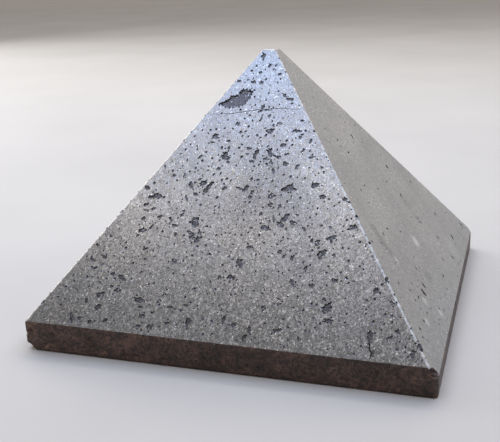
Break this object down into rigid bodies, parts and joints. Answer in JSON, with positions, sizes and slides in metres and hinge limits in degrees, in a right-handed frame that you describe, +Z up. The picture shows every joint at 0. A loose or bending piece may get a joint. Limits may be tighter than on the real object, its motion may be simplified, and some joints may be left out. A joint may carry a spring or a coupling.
{
  "type": "stone pyramid",
  "caption": "Square lapped hematite pyramid with a blunt tip, worn ridges and open pits, standing on a low upright band.",
  "frame": {"origin": "middle of the square resting face, on the surface it stands on", "axes": "+Z up through the tip; -Y is the pitted front slope seen in the picture; +X is the slope to its right"},
  "size_m": [0.04, 0.04, 0.0272],
  "materials": {
    "hematite": "satin"
  },
  "bodies": {
    "root": {"pyramid": "hematite"}
  },
  "joints": []
}
